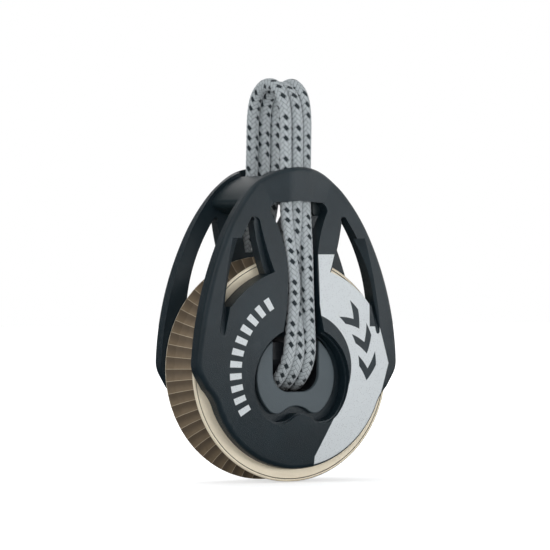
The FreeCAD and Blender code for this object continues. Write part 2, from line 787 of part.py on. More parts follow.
def build_sheave():
    """The sheave: a turned blank with a groove of hollow facets that run out at its rims."""
    body = doc.addObject("PartDesign::Body", "SheaveBlank")
    section = sketch_on(body, "XY_Plane", "sheave_section")
    half = size("sheave_half_width")
    radius = size("sheave_radius")
    bore = size("sheave_bore_radius")
    step = size("flange_step_radius")
    inner_face = half - size("flange_step_depth")
    ring = size("ratchet_outer_radius")
    pocket_y = size("ratchet_pocket_y")
    rim = 0.35
    bevel = 0.35
    line = size("flange_line_radius")
    corners = [
        [flat(bore, -inner_face), flat(step - bevel, -inner_face)],
        [flat(step - bevel, -inner_face), flat(step, -half)],
        [flat(step, -half), flat(line - 0.12, -half)],
        [flat(line - 0.12, -half), flat(line, -half + 0.18)],
        [flat(line, -half + 0.18), flat(line + 0.12, -half)],
        [flat(line + 0.12, -half), flat(radius - rim, -half)],
        arc(flat(radius - rim, -half), flat(radius, -half + rim), -rim),
        [flat(radius, -half + rim), flat(radius, half - rim)],
        arc(flat(radius, half - rim), flat(radius - rim, half), -rim),
        [flat(radius - rim, half), flat(line + 0.12, half)],
        [flat(line + 0.12, half), flat(line, half - 0.18)],
        [flat(line, half - 0.18), flat(line - 0.12, half)],
        [flat(line - 0.12, half), flat(step, half)],
        [flat(step, half), flat(step - bevel, inner_face)],
        [flat(step - bevel, inner_face), flat(ring, inner_face)],
        [flat(ring, inner_face), flat(ring, pocket_y)],
        [flat(ring, pocket_y), flat(bore, pocket_y)],
        [flat(bore, pocket_y), flat(bore, -inner_face)],
    ]
    add_path(section, corners)
    turned = body.newObject("PartDesign::Revolution", "sheave_turned")
    turned.Profile = section
    turned.ReferenceAxis = (section, ["V_Axis"])
    turned.Angle = 360
    doc.recompute()

    levels = [(0, 0.15), (1.9, 0.5), (3.5, 1.5), (4.8, 3.0), (5.9, 4.6), (6.8, 6.7)]
    front_wall = [(-y, rise) for y, rise in reversed(levels)]
    sections = []
    for number, (y, rise) in enumerate(front_wall + levels[1:]):
        sections.append(groove_section(f"GrooveLevel_{number}", y, size("tread_radius") + rise))
    core = doc.addObject("Part::Loft", "GrooveCore")
    core.Sections = sections
    core.Solid = True
    core.Ruled = True
    band = cylinder_y("GrooveBand", "Sizes.sheave_radius + 1", "-Sizes.groove_half_width",
                      "Sizes.groove_half_width")
    keep(cut("Sheave", body, cut("Groove", band, core)), "sheave")


# ---------------------------------------------------------------- ratchet
FIRST_TOOTH_ANGLE = -65.4


def build_ratchet():
    """The toothed ring pressed into the sheave: ramps with a steep face each."""
    count = int(size("ratchet_teeth"))
    pitch = 360 / count
    points = []
    for number in range(count):
        start = FIRST_TOOTH_ANGLE + number * pitch
        points.append(polar(size("ratchet_root_radius"), start + 0.6))
        points.append(polar(size("ratchet_tip_radius"), start + pitch - 1.0))
        points.append(polar(size("ratchet_tip_radius"), start + pitch))
    hole = prism_y([(p.x, p.y) for p in points], size("ratchet_pocket_y") - 1, size("ratchet_end_y") + 1)
    ring = cylinder_y("RatchetBlank", "Sizes.ratchet_outer_radius", "Sizes.ratchet_pocket_y",
                      "Sizes.ratchet_end_y")
    keep(cut("RatchetRing", ring, solid_feature("RatchetTeeth", hole)), "ratchet_ring")


PAWL_OUTLINE = [
    (18.9, -4), (18.9, -22), (18.8, -40), (18.4, -54), (18.8, -60), (19.0, -66),
    (17.3, -66.5), (16.2, -56), (15.9, -44), (15.9, -32), (16.6, -26), (16.7, -5.5),
]


def pawl_shape():
    """The right pawl, held off the teeth: nose below its pin, toe above against the trip arm."""
    front = size("pawl_front_y")
    rear = size("pawl_rear_y")
    points = [polar(radius, angle) for radius, angle in PAWL_OUTLINE]
    outline = [(p.x, p.y) for p in points]
    toe = [(15.1, -1.15), (15.1, -0.15), (18.6, -0.15)]
    blade = prism_y(outline + toe, front, rear)
    pivot = pawl_pivots()[0]
    base = Vector(pivot.x, front, pivot.y)
    boss = Part.makeCylinder(1.85, rear - front, base, Vector(0, 1, 0))
    hole_radius = size("pawl_pin_radius") + size("pawl_pin_clearance")
    hole = Part.makeCylinder(hole_radius, rear - front + 2, base - Vector(0, 1, 0), Vector(0, 1, 0))
    return blade.fuse(boss).cut(hole).removeSplitter()


def build_pawls():
    """Two pawls, their pins, springs and the washer that carries the pins' inner ends."""
    shape = pawl_shape()
    keep(solid_feature("RightPawl", shape), "right_pawl")
    keep(solid_feature("LeftPawl", shape, 180), "left_pawl")

    plate_y = size("ratchet_pocket_y") + 0.1
    washer = ring_y("PinWasherRing", "Sizes.ratchet_tip_radius - 0.2", "Sizes.race_outer_radius",
                    "Sizes.ratchet_pocket_y + 0.1", "Sizes.pawl_front_y - 0.1")
    holes = []
    pins = []
    springs = []
    for number, pivot in enumerate(pawl_pivots()):
        holes.append(cylinder_y(f"WasherHole_{number}", "Sizes.pawl_pin_radius",
                                "Sizes.ratchet_pocket_y - 1", "Sizes.pawl_front_y", pivot.x, pivot.y))
        pins.append(Part.makeCylinder(size("pawl_pin_radius"), size("cheek_inner_y") + 2.5 - plate_y,
                                      Vector(pivot.x, plate_y, pivot.y), Vector(0, 1, 0)))
        springs.append(torsion_spring(pivot, 180 * number))
    keep(cut("PinWasher", washer, fuse("WasherHoles", holes)), "pawl_pin_washer")
    keep(solid_feature("PawlPins", Part.makeCompound(pins)), "pawl_pins")
    keep(solid_feature("PawlSprings", Part.makeCompound(springs)), "pawl_springs")


def coil(radius, wire, pitch, height):
    """An open coil of round wire that climbs along Z from the origin."""
    path = Part.makeHelix(pitch, height, radius)
    circle = Part.Wire(Part.Circle(Vector(radius, 0, 0), Vector(0, 1, 0), wire).toShape())
    return Part.Wire(path.Edges).makePipeShell([circle], True, True)


def torsion_spring(pivot, turn):
    """A small coil round a pawl's pin, in the gap between the pawl and the rear cheek."""
    wire = 0.16
    spring = coil(1.25, wire, 0.4, 0.8)
    spring.rotate(Vector(), Vector(1, 0, 0), -90)
    spring.rotate(Vector(), Vector(0, 1, 0), turn)
    spring.translate(Vector(pivot.x, size("pawl_rear_y") + wire + 0.08, pivot.y))
    return spring


# ---------------------------------------------------------------- hub
HUB_SCREWS = [(-3.6, -7.35), (3.6, -7.35), (-8.4, 3.4), (8.4, 3.4)]
HUB_SCREW_HEAD = 1.45
LOAD_SPRING_X = 3.4
SPRING_SEAT_Z = 10.2
SPRING_POCKET_Z = 3.8


def build_hub():
    """The sliding hub: the core with its saddle and spring ribs, two plates, screws, trip arms."""
    body = doc.addObject("PartDesign::Body", "HubCore")
    section = sketch_on(body, "XZ_Plane", "hub_core_section")
    add_path(section, hub_section(size("hub_half_width"), size("hub_bottom_z"), size("hub_top_z")))
    symmetric_pad(body, section, "2 * Sizes.hub_back_y")

    passage = sketch_on(body, "XZ_Plane", "lashing_passage")
    side = size("passage_half_width")
    floor = size("passage_bottom_z")
    corner = 1.2
    top = size("hub_top_z") + 1
    add_path(passage, both_sides([
        [flat(0, top), flat(side, top)],
        [flat(side, top), flat(side, floor + corner)],
        corner_arc(flat(side - corner, floor + corner), corner, 0),
        [flat(side - corner, floor), flat(0, floor)],
    ]))
    through_all(body, passage)

    saddle = sketch_on(body, "YZ_Plane", "saddle")
    radius = size("saddle_radius")
    centre_z = size("saddle_centre_z")
    back = size("hub_back_y")
    foot = centre_z - math.sqrt(radius ** 2 - back ** 2)
    top = size("hub_top_z")
    add_path(saddle, [
        [flat(-back, top), flat(-back, foot)],
        [flat(-back, foot), flat(0, centre_z - radius), flat(back, foot)],
        [flat(back, foot), flat(back, top)],
        [flat(back, top), flat(-back, top)],
    ])
    symmetric_pad(body, saddle, "2 * Sizes.passage_half_width + 0.2")

    for name, middle in (("front", -FRONT * 3.8), ("rear", -REAR * 3.8)):
        rib = sketch_on(body, "XZ_Plane", f"{name}_spring_rib", f"{middle} - 0.5")
        add_path(rib, both_sides([
            [flat(0, 9.2), flat(6.4, 9.2)],
            [flat(6.4, 9.2), flat(6.4, size("hub_top_z") - 0.5)],
            [flat(6.4, size("hub_top_z") - 0.5), flat(0, size("hub_top_z") - 0.5)],
        ]))
        extrude(body, "Pad", rib, "1")

    pockets = sketch_on(body, "XY_Plane", "spring_pockets")
    for x in (-LOAD_SPRING_X, LOAD_SPRING_X):
        pockets.addGeometry(Part.Circle(flat(x, 0), Vector(0, 0, 1), 1.6), False)
    pockets.AttachmentOffset = Placement(Vector(0, 0, SPRING_POCKET_Z), Rotation())
    upwards(body, pockets, size("hub_top_z"))

    holes = sketch_on(body, "XZ_Plane", "hub_screw_holes")
    for x, z in HUB_SCREWS:
        add_circle(holes, "hub_screw_radius", x, z)
    through_all(body, holes)
    arms = solid_feature("TripArmShape", trip_arms())
    keep(cut("HubCoreSlotted", body, arms), "hub_core")
    keep(solid_feature("TripArms", trip_arms()), "trip_arms")

    for name, y in (("front", FRONT), ("rear", REAR)):
        hub_plate(name, y)
    screw = countersunk_screw(size("hub_screw_radius"), HUB_SCREW_HEAD, -size("hub_face_y") + 0.5,
                              size("hub_face_y") - 0.05, 0.6)
    keep(screws_at("HubScrews", screw, HUB_SCREWS), "hub_screws")


def symmetric_pad(body, sketch, length):
    """A pad half to each side of its sketch."""
    pad = body.newObject("PartDesign::Pad", f"{sketch.Name}_pad")
    pad.Profile = sketch
    pad.Midplane = True
    pad.setExpression("Length", length)
    doc.recompute()


def trip_arms():
    """Two arms that reach from the hub, through the race, to the pawls' toes.

    Each arm ends in a ramp, so that a toe follows it inwards as the hub rises. The left arm
    stands higher and its ramp is steeper, because the left pawl's toe points down.
    """
    inner = 7.6
    tip = 14.95
    above = 0.8
    arms = []
    for side, ramp_top, ramp_height, lean in ((-1, 1.15, 1.15, 1.2), (1, -0.15, 1.0, 1.75)):
        foot = ramp_top - ramp_height
        outline = [
            (side * inner, foot),
            (side * (tip - lean * ramp_height), foot),
            (side * tip, ramp_top),
            (side * tip, ramp_top + above),
            (side * inner, ramp_top + above),
        ]
        arms.append(prism_y(outline, 4.9, 6.1))
    return Part.makeCompound(arms)


def hub_plate(name, direction):
    """A plate on the hub's end: a notched disc with a U slot that the lashing enters by."""
    body = doc.addObject("PartDesign::Body", f"{name.title()}Plate")
    offset = "Sizes.hub_back_y" if direction == FRONT else "-Sizes.hub_face_y"
    sketch = sketch_on(body, "XZ_Plane", f"{name}_plate_outline", offset)
    slot = 6.7
    corner = 4.7
    bottom = -5.7
    radius = size("hub_plate_radius")
    centre_z = size("hub_plate_centre_z")
    horn_angle = math.degrees(math.acos(slot / radius))
    outside = heart_outline(radius, centre_z, -11.2, -9.3, 3.2, horn_angle)
    horn = outside[0][0]
    inside = [
        [flat(0, bottom), flat(slot - corner, bottom)],
        list(reversed(corner_arc(flat(slot - corner, bottom + corner), corner, 0))),
        [flat(slot, bottom + corner), horn],
    ]
    add_path(sketch, both_sides(inside + outside))
    pad = body.newObject("PartDesign::Pad", f"{name}_plate_pad")
    pad.Profile = sketch
    pad.setExpression("Length", "Sizes.hub_face_y - Sizes.hub_back_y")
    doc.recompute()
    rounded = body.newObject("PartDesign::Fillet", f"{name}_plate_round")
    face_y = direction * size("hub_face_y")
    edges = [f"Edge{number}" for number, edge in enumerate(pad.Shape.Edges, start=1)
             if abs(edge.BoundBox.YMin - face_y) < 0.01 and abs(edge.BoundBox.YMax - face_y) < 0.01]
    rounded.Base = (pad, edges)
    rounded.Radius = 0.3
    doc.recompute()

    shank = [cylinder_y(f"{name}_plate_hole_{number}", "Sizes.hub_screw_radius",
                        "-Sizes.hub_face_y + 0.5" if direction == FRONT else "Sizes.hub_back_y - 1",
                        "-Sizes.hub_back_y + 1" if direction == FRONT else "Sizes.hub_face_y + 1", x, z)
             for number, (x, z) in enumerate(HUB_SCREWS)]
    if direction == REAR:
        for number, (x, z) in enumerate(HUB_SCREWS):
            sink = doc.addObject("Part::Cone", f"PlateSink_{number}")
            sink.Radius1 = size("hub_screw_radius")
            sink.Radius2 = HUB_SCREW_HEAD + 0.35
            sink.Height = sink.Radius2 - sink.Radius1
            face = size("hub_face_y") - 0.05
            base_y = face - (HUB_SCREW_HEAD - size("hub_screw_radius"))
            sink.Placement = Placement(Vector(x, base_y, z), ALONG_Y)
            shank.append(sink)
    keep(cut(f"{name.title()}HubPlate", body, fuse(f"{name}_plate_holes", shank)), f"{name}_hub_plate")


def build_load_springs():
    """The two springs that press the hub down, and the seat under the race's top."""
    seat_half = 6.4
    box = doc.addObject("Part::Box", "SeatBlock")
    box.Length = 2 * seat_half
    box.Width = 6
    box.Height = 4
    box.Placement = Placement(Vector(-seat_half, -3, SPRING_SEAT_Z), Rotation())
    bore = cylinder_y("SeatBore", "Sizes.race_inner_radius", "-4", "4")
    seat = doc.addObject("Part::MultiCommon", "SpringSeat")
    seat.Shapes = [box, bore]
    keep(seat, "spring_seat")
    wire = 0.22
    gap = 0.04
    height = SPRING_SEAT_Z - SPRING_POCKET_Z - 2 * wire - 2 * gap
    springs = []
    for x in (-LOAD_SPRING_X, LOAD_SPRING_X):
        spring = coil(1.2, wire, height / 6, height)
        spring.translate(Vector(x, 0, SPRING_POCKET_Z + wire + gap))
        springs.append(spring)
    keep(solid_feature("LoadSprings", Part.makeCompound(springs)), "load_springs")


# ---------------------------------------------------------------- lashing
# One cord wound three times through the hub and over the head. The ends lie in the passage.
LASHING_ROUTE = [
    (-4.8, 0.5, -4.2),
    (-3.4, 4.75, -4.2), (-3.1, 11.4, 2.4), (-2.5, 11.8, 11.0), (-1.8, 12.3, 21.0),
    (-2.6, 11.6, 31.0), (-2.9, 8.2, 40.5), (-3.1, 6.8, 53.0),
    (-3.0, 6.7, 67.3), (-3.0, 1.96, 72.1), (-3.0, -4.76, 72.1), (-2.95, -9.5, 67.3),
    (-3.1, -9.6, 53.5), (-3.05, -9.6, 41.0), (-3.1, -11.7, 31.0), (-1.85, -12.3, 21.0),
    (-2.5, -11.8, 11.0), (-3.1, -11.4, 2.4), (-3.3, -4.75, -4.2),
    (0.0, 4.75, -4.2), (0.1, 11.4, 2.4), (0.0, 10.8, 11.0), (0.05, 10.1, 21.0),
    (0.3, 10.0, 31.5), (0.35, 7.6, 41.0), (0.35, 6.7, 53.0),
    (0.4, 6.8, 65.9), (0.4, 1.9, 70.5), (0.4, -4.7, 70.5), (0.35, -9.5, 65.9),
    (0.3, -9.6, 53.5), (0.1, -9.7, 41.0), (-0.6, -9.95, 30.5), (0.0, -9.95, 20.5),
    (0.0, -10.4, 11.0), (-0.1, -11.4, 2.4), (0.0, -4.75, -4.2),
    (3.3, 4.75, -4.2), (3.2, 11.4, 2.4), (2.5, 11.8, 11.0), (1.9, 12.3, 21.0),
    (3.0, 11.5, 31.0), (3.6, 8.0, 40.5), (3.7, 6.5, 53.0),
    (3.7, 6.4, 67.3), (3.6, 1.8, 72.1), (3.5, -3.9, 72.1), (3.6, -8.4, 67.3),
    (3.5, -8.2, 53.5), (2.95, -8.8, 41.0), (1.9, -11.75, 30.5), (1.8, -12.3, 20.5),
    (2.5, -11.8, 11.0), (3.1, -11.4, 2.4), (3.4, -4.75, -4.2),
    (4.8, -0.5, -4.2),
]
ARC_SHARE = 0.45


def rounded_path(route):
    """Straight runs joined by tangent arcs as large as the runs allow; returns wire and radii."""
    points = [Vector(*p) for p in route]
    edges = []
    radii = []
    here = points[0]
    for before, corner, after in zip(points, points[1:], points[2:]):
        way_in = (corner - before).normalize()
        way_out = (after - corner).normalize()
        half_turn = way_in.getAngle(way_out) / 2
        setback = ARC_SHARE * min((corner - before).Length, (after - corner).Length)
        radii.append(setback / math.tan(half_turn))
        start = corner - way_in * setback
        end = corner + way_out * setback
        towards = (way_out - way_in).normalize()
        centre_gap = radii[-1] / math.cos(half_turn)
        middle = corner + towards * (centre_gap - radii[-1])
        edges.append(Part.LineSegment(here, start).toShape())
        edges.append(Part.Arc(start, middle, end).toShape())
        here = end
    edges.append(Part.LineSegment(here, points[-1]).toShape())
    return Part.Wire(edges), radii


def build_lashing():
    """The lashing's plain tube along its route."""
    wire, radii = rounded_path(LASHING_ROUTE)
    radius = size("cord_radius")
    start = Vector(*LASHING_ROUTE[0])
    way = (Vector(*LASHING_ROUTE[1]) - start).normalize()
    circle = Part.Wire(Part.Circle(start, way, radius).toShape())
    tube = wire.makePipeShell([circle], True, False)
    expected = math.pi * radius ** 2 * wire.Length
    print(f"lashing: {wire.Length:.1f} mm of cord, volume {tube.Volume:.0f} of {expected:.0f} mm3")
    print("lashing radii:", " ".join(f"{value:.1f}" for value in radii))
    keep(solid_feature("Lashing", tube), "lashing")


# ---------------------------------------------------------------- build and write
def check_and_write():
    """Stop on any failed object, then write each sub-part to parts/NODE.step."""
    doc.recompute()
    for item in doc.Objects:
        if "Invalid" in item.State or "Error" in item.State:
            raise RuntimeError(f"{item.Name} is {item.State}")
    os.makedirs("parts", exist_ok=True)
    for node in NODES:
        shape = node.Shape
        if shape.isNull() or not shape.isValid():
            raise RuntimeError(f"{node.Label} has no valid shape")
        shape.exportStep(f"parts/{node.Label}.step")
        print(f"{node.Label}: {len(shape.Solids)} solid(s), {shape.Volume:.1f} mm3")


build_cheeks()
build_head_spacers()
build_head_screws()
build_bearing()
build_sheave()
build_ratchet()
build_pawls()
build_hub()
build_load_springs()
build_lashing()
check_and_write()
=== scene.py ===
# %% [markdown]
# A small sheave block for a sailing boat, dressed in Blender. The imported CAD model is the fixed
# frame: its pieces keep their places and sizes, and this script gives every surface its finish
# and weaves the lashing. Lengths are metres, X runs across the block, Y along the sheave's axis
# and Z up towards the lashing.

# %% Load the frame
import math

import bmesh
import bpy
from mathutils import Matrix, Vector


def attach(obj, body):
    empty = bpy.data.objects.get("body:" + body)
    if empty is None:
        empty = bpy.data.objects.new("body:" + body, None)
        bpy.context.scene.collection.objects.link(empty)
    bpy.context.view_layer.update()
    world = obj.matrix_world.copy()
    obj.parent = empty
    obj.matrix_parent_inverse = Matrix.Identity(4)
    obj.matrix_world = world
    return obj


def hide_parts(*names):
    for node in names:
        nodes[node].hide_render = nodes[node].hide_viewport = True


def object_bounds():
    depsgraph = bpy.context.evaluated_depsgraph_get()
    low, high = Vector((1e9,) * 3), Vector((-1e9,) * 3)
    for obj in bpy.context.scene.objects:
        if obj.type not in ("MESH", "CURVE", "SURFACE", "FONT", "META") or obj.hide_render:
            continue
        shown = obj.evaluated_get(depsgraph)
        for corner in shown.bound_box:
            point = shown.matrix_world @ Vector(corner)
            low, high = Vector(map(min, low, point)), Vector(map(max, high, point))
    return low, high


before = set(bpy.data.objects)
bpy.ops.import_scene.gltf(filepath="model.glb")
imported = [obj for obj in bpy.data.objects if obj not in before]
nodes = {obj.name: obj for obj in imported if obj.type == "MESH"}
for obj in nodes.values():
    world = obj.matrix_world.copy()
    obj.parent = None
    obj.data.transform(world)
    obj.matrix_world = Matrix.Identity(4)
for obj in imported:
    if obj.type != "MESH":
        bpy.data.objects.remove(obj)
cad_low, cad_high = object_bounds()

MM = 0.001
MIDDLE = (cad_low + cad_high) / 2
print("CAD box", [round(v / MM, 1) for v in cad_high - cad_low], "mm")

# %% [markdown]
# Most finishes are built from the same few moves in the shader editor: add a node, set its
# values, join two sockets. They could be written out each time, but that takes five lines for
# one sum. Short helpers do them instead, so that a material reads as what it looks like and not
# as a list of nodes. A colour is a plain tuple of red, green and blue.


# %% Helpers for shader nodes
def add(tree, kind, **values):
    """Add a node; a value goes to the property or the input socket of that name."""
    node = tree.nodes.new(kind)
    for name, value in values.items():
        if hasattr(node, name):
            setattr(node, name, value)
        else:
            node.inputs[name.replace("_", " ")].default_value = value
    return node


def join(tree, source, target):
    """Join an output socket to an input socket, or set a plain number."""
    if isinstance(source, (int, float)):
        target.default_value = source
    else:
        tree.links.new(source, target)


def sum_up(tree, operation, first, second=0.0, third=0.0):
    """A Math node; each term is a number or a socket. It returns the result's socket."""
    node = tree.nodes.new("ShaderNodeMath")
    node.operation = operation
    for term, socket in zip((first, second, third), node.inputs):
        join(tree, term, socket)
    return node.outputs[0]


def shaded(colour, factor):
    """The same colour, darker below a factor of 1 and lighter above."""
    return tuple(part * factor for part in colour)


def blend_colours(tree, mask, first, second):
    """Mix two colours by a mask; each colour is a tuple or a socket."""
    node = add(tree, "ShaderNodeMix", data_type="RGBA")
    join(tree, mask, node.inputs["Factor"])
    for colour, socket in ((first, node.inputs["A"]), (second, node.inputs["B"])):
        if isinstance(colour, tuple):
            socket.default_value = (*colour, 1)
        else:
            tree.links.new(colour, socket)
    return node.outputs["Result"]


# %% [markdown]
# A mask is a number from 0 to 1 at each point of a surface, and it says where one colour gives
# way to another. Masks are cut from distances and angles with soft steps, then combined: a
# product keeps what lies in all of them, and the greatest keeps what lies in any.


# %% Helpers for masks
def fade(tree, value, start, end):
    """A mask that rises softly from 0 at start to 1 at end."""
    node = add(tree, "ShaderNodeMapRange", interpolation_type="SMOOTHSTEP")
    join(tree, value, node.inputs["Value"])
    node.inputs["From Min"].default_value = start
    node.inputs["From Max"].default_value = end
    return node.outputs["Result"]


def between(tree, value, low, high, soft=0.05):
    """A mask that is 1 between two values and soft at both ends."""
    rise = fade(tree, value, low - soft, low + soft)
    fall = fade(tree, value, high + soft, high - soft)
    return all_of(tree, rise, fall)


def all_of(tree, first, *others):
    """What lies in every one of the masks."""
    for mask in others:
        first = sum_up(tree, "MULTIPLY", first, mask)
    return first


def either(tree, first, second):
    """What lies in one mask or the other."""
    return sum_up(tree, "MAXIMUM", first, second)


def opposite(tree, mask):
    """What lies outside the mask."""
    return sum_up(tree, "SUBTRACT", 1.0, mask)


def distance_to(tree, value, middle):
    """How far a value is from a middle one, on either side."""
    return sum_up(tree, "ABSOLUTE", sum_up(tree, "SUBTRACT", value, middle))


def squares(tree, first, second):
    """The sum of two numbers' squares."""
    return sum_up(tree, "MULTIPLY_ADD", first, first, sum_up(tree, "MULTIPLY", second, second))


# %% [markdown]
# Moulded nylon has a fine leathery grain and a faint cloudiness from the glass fibre in it. Two
# noises make both: a fine one for the grain's height and a broad one that lightens and darkens
# the colour a little. Small round dots are there too, for a printed colour with coarse flakes
# in it. The grain could be real relief in the mesh, but it is a tenth of a millimetre deep at
# most, so bump shows it as well and costs no triangles. All three sit in one node group, which
# each plastic places with its own values.


# %% Group: moulded grain
def make_grain():
    """Height, cloud and fleck at a position; each input but the first is a count per millimetre."""
    group = bpy.data.node_groups.new("moulded grain", "ShaderNodeTree")
    group.interface.new_socket("Position", in_out="INPUT", socket_type="NodeSocketVector")
    for label, count in (("Grain per mm", 4.0), ("Cloud per mm", 0.12), ("Fleck per mm", 2.2)):
        socket = group.interface.new_socket(label, in_out="INPUT", socket_type="NodeSocketFloat")
        socket.default_value = count
    for label in ("Height", "Cloud", "Fleck"):
        group.interface.new_socket(label, in_out="OUTPUT", socket_type="NodeSocketFloat")
    given = group.nodes.new("NodeGroupInput")
    result = group.nodes.new("NodeGroupOutput")

    fine = add(group, "ShaderNodeTexNoise", Detail=3.0, Roughness=0.6)
    broad = add(group, "ShaderNodeTexNoise", Detail=4.0, Roughness=0.55)
    dots = add(group, "ShaderNodeTexVoronoi", Randomness=1.0)
    for texture, label in ((fine, "Grain per mm"), (broad, "Cloud per mm"), (dots, "Fleck per mm")):
        join(group, given.outputs["Position"], texture.inputs["Vector"])
        per_metre = sum_up(group, "MULTIPLY", given.outputs[label], 1000)
        join(group, per_metre, texture.inputs["Scale"])
    join(group, fine.outputs["Fac"], result.inputs["Height"])
    join(group, broad.outputs["Fac"], result.inputs["Cloud"])
    join(group, fade(group, dots.outputs["Distance"], 0.32, 0.12), result.inputs["Fleck"])
    return group


grain_group = make_grain()
print("group", grain_group.name)


# %% [markdown]
# A material starts from one Principled shader. Its patterns could follow each piece's own box,
# but then they would stretch on a long piece and shrink on a small one. The position comes from
# Object coordinates instead: every piece sits at the origin with its place in its mesh, so a
# pattern runs on from piece to piece at one scale. Positions are turned into millimetres, so
# that the numbers in a material are the sizes on the block.


# %% Helpers for materials
def start_material(name, roughness, metallic=0.0, specular=0.5):
    """A material with its node tree, its shader and the socket that gives the position."""
    material = bpy.data.materials.new(name)
    material.use_nodes = True
    tree = material.node_tree
    shader = tree.nodes["Principled BSDF"]
    shader.inputs["Roughness"].default_value = roughness
    shader.inputs["Metallic"].default_value = metallic
    shader.inputs["Specular IOR Level"].default_value = specular
    place = add(tree, "ShaderNodeTexCoord").outputs["Object"]
    return material, tree, shader, place


def bump_from(tree, shader, height, distance, strength=1.0):
    """Feed a height into the shader's normal; distance is in metres."""
    bump = add(tree, "ShaderNodeBump", Strength=strength, Distance=distance)
    join(tree, height, bump.inputs["Height"])
    join(tree, bump.outputs["Normal"], shader.inputs["Normal"])


def axes_of(tree, place):
    """The X, Y and Z of a position in millimetres."""
    scaled = add(tree, "ShaderNodeVectorMath", operation="SCALE")
    join(tree, place, scaled.inputs[0])
    scaled.inputs["Scale"].default_value = 1 / MM
    parts = add(tree, "ShaderNodeSeparateXYZ")
    join(tree, scaled.outputs[0], parts.inputs[0])
    return parts.outputs


def radius_of(tree, x, z):
    """The distance from the sheave's axis."""
    return sum_up(tree, "SQRT", squares(tree, x, z))


def grained(tree, place, per_mm):
    """The moulded grain at a position."""
    node = add(tree, "ShaderNodeGroup", node_tree=grain_group)
    join(tree, place, node.inputs["Position"])
    node.inputs["Grain per mm"].default_value = per_mm
    return node.outputs


def moulded(name, colour, roughness, grain=5.0, depth=0.04 * MM, cloud=0.25):
    """Grained, slightly cloudy moulded plastic."""
    material, tree, shader, place = start_material(name, roughness)
    texture = grained(tree, place, grain)
    tint = blend_colours(tree, texture["Cloud"], shaded(colour, 1 - cloud), shaded(colour, 1 + cloud))
    join(tree, tint, shader.inputs["Base Color"])
    bump_from(tree, shader, texture["Height"], depth)
    return material


# %% [markdown]
# The cheeks are black glass-filled nylon. The front one carries a printed mark: a field of
# speckled silver on one side of the hub with three dark chevrons that say which way the sheave
# turns, and an arc of pale ticks on the other side. Such a mark could be a picture laid on the
# face or a thin sheet of its own. But print has no height, and a picture blurs up close, so it
# is a mask in the material, drawn from X, Z and the distance and angle about the sheave's axis.
# The field's sides are straight lines, each given as its X at the axis's height and how much X
# changes with each millimetre of Z.

# %% Sizes of the cheeks' print, in millimetres and degrees
NYLON = (0.009, 0.018, 0.024)
SILVER = (0.68, 0.715, 0.73)
PRINT_EDGE = 0.1

DOME_RADIUS = 200
DOME_TOP_Y = 13.6
DOME_MIDDLE_Z = 10

FIELD_HUB_RADIUS = 14.4
FIELD_SLOT_X = 4.7
FIELD_TOP_Z = 29.0
FIELD_FOOT = (16.2, 0.52)
FIELD_FOOT_TOP_Z = -9.0
FIELD_LOWER_FLANK = (26.05, 0.28)
FIELD_UPPER_FLANK = (26.8, -0.325)
BARE_RAIL_X_Z = ((20.05, 10.6), (10.05, 24.05))

CHEVRON_STARTS = (50, 70, 90)
CHEVRON_SPAN = 9
CHEVRON_RADIUS = 19.6
CHEVRON_HALF_WIDTH = 2.75
CHEVRON_SWEEP = 4.2

TICK_PITCH = 9.0
TICK_HALF_WIDTH = 0.26
TICK_RADII = (17.6, 20.8)
TICK_ANGLES = (-126, -27)

# %% [markdown]
# Each form of the print has its own mask. The silver field is what lies past all of its sides,
# less the bare outer rail. A chevron is a piece of an arc whose angle trails with the distance
# from the arc's middle. A tick is the middle half of each equal step of the angle. The print
# stays on the dome: a point below the dome's surface, in a recess or on a rounded edge, gets
# none, as a flat printing pad would not reach it.


# %% Masks of the cheeks' print
def past(tree, value, limit):
    """A mask with a printed edge, 1 where the value is greater than the limit."""
    return fade(tree, sum_up(tree, "SUBTRACT", value, limit), 0.0, PRINT_EDGE)


def line_x(tree, z, line):
    """The X of a straight line at each height."""
    at_axis, per_z = line
    return sum_up(tree, "MULTIPLY_ADD", z, per_z, at_axis)


def on_dome(tree, x, y, z):
    """The front cheek's domed face, without its recesses and rounded edges."""
    rise = sum_up(tree, "SUBTRACT", z, DOME_MIDDLE_Z)
    dome_y = sum_up(tree, "MULTIPLY_ADD", squares(tree, rise, x), 0.5 / DOME_RADIUS, -DOME_TOP_Y)
    return fade(tree, sum_up(tree, "SUBTRACT", y, dome_y), 0.16, 0.08)


def silver_field(tree, x, z, radius):
    """The field on the right of hub and slot, down to a slanting foot; the outer rail is bare."""
    above_foot = either(tree, past(tree, x, line_x(tree, z, FIELD_FOOT)),
                        past(tree, z, FIELD_FOOT_TOP_Z))
    flank = sum_up(tree, "MINIMUM", line_x(tree, z, FIELD_UPPER_FLANK),
                   line_x(tree, z, FIELD_LOWER_FLANK))
    field = all_of(tree, past(tree, radius, FIELD_HUB_RADIUS), past(tree, x, FIELD_SLOT_X),
                   above_foot, past(tree, FIELD_TOP_Z, z), past(tree, flank, x))
    for rail_x, rail_z in BARE_RAIL_X_Z:
        rail = all_of(tree, past(tree, x, rail_x), past(tree, z, rail_z))
        field = all_of(tree, field, opposite(tree, rail))
    return field


def chevron_marks(tree, radius, angle):
    """Chevrons along an arc; each one's arms trail the further they are from its middle."""
    from_middle = distance_to(tree, radius, CHEVRON_RADIUS)
    swept = sum_up(tree, "MULTIPLY_ADD", from_middle, CHEVRON_SWEEP, angle)
    marks = 0.0
    for start in CHEVRON_STARTS:
        marks = either(tree, marks, between(tree, swept, start, start + CHEVRON_SPAN, 0.2))
    return all_of(tree, marks, past(tree, CHEVRON_HALF_WIDTH, from_middle))


